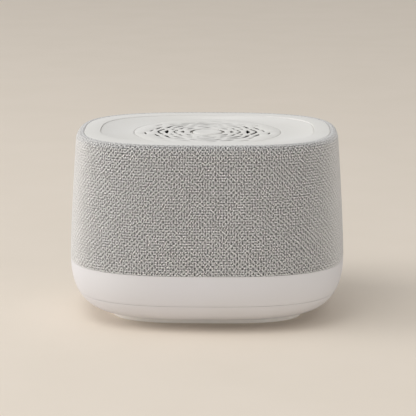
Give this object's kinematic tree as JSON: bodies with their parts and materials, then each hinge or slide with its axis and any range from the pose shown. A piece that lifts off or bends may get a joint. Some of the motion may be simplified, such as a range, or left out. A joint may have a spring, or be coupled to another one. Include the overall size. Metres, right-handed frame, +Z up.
{
  "type": "white noise sound machine",
  "caption": "Rounded box sound machine wrapped in grey knit, with a white belly and cap, a flush rotary rosette grille and a centre push button.",
  "frame": {"origin": "on the table, under the middle of the body", "axes": "+Z up, front towards -Y, +X to the right as seen from the front"},
  "size_m": [0.15, 0.119, 0.102],
  "materials": {
    "foot_rubber": "matte, light grey",
    "shell_white": "fine matte moulded texture",
    "cap_white": "fine matte moulded texture",
    "knit_fabric": "heather grey knit",
    "screw_steel": "zinc plated",
    "plated_metal": "nickel plated",
    "black_steel": "black painted sheet steel",
    "ferrite": "sintered ferrite",
    "copper": "enamelled winding",
    "board_green": "solder mask",
    "black_plastic": "satin black",
    "acetal_white": "waxy moulded acetal",
    "black_rubber": "matte black",
    "cone_paper": "pressed pulp",
    "damper_cloth": "varnished cloth",
    "mesh_black": "open acoustic cloth",
    "ribbon_film": "flat flexible cable"
  },
  "bodies": {
    "housing": {"foot_pad": "foot_rubber", "base_tray": "shell_white", "case_screws": "screw_steel", "base_shell": "shell_white", "main_board": "board_green", "board_parts": "black_plastic", "board_screws": "screw_steel", "power_socket": "plated_metal", "speaker_box": "black_plastic", "lead_grommet": "black_rubber", "speaker_leads": "black_rubber", "speaker_magnet": "ferrite", "speaker_yoke": "plated_metal", "speaker_basket": "black_steel", "voice_coil": "copper", "speaker_damper": "damper_cloth", "speaker_cone": "cone_paper", "speaker_surround": "black_rubber", "dust_cap": "cone_paper", "speaker_gasket": "black_rubber", "speaker_baffle": "black_plastic", "baffle_screws": "screw_steel", "speaker_screws": "screw_steel", "sleeve_frame": "black_plastic", "frame_screws": "screw_steel", "fabric_sleeve": "knit_fabric", "top_cap": "cap_white", "cap_screws": "screw_steel", "dial_bridge": "shell_white", "bridge_screws": "screw_steel", "control_board": "board_green", "tact_switch": "black_plastic", "dial_sensor": "black_plastic", "ribbon_cable": "ribbon_film", "glide_ring": "acetal_white", "button_spring": "screw_steel"},
    "dial": {"rosette_dial": "cap_white", "dial_carrier": "black_plastic", "code_ring": "black_plastic", "dust_cloth": "mesh_black"},
    "button": {"power_button": "cap_white"}
  },
  "joints": [
    {"name": "dial_turn", "type": "hinge", "parent": "housing", "child": "dial", "pos_m": [0, 0, 0.098], "axis": [0, 0, 1], "range_deg": [-150, 150]},
    {"name": "button_press", "type": "slide", "parent": "housing", "child": "button", "axis": [0, 0, -1], "range_m": [0, 0.001], "stiffness_N_per_m": 900, "springref_m": -0.0008, "deforming": ["button_spring"]}
  ]
}
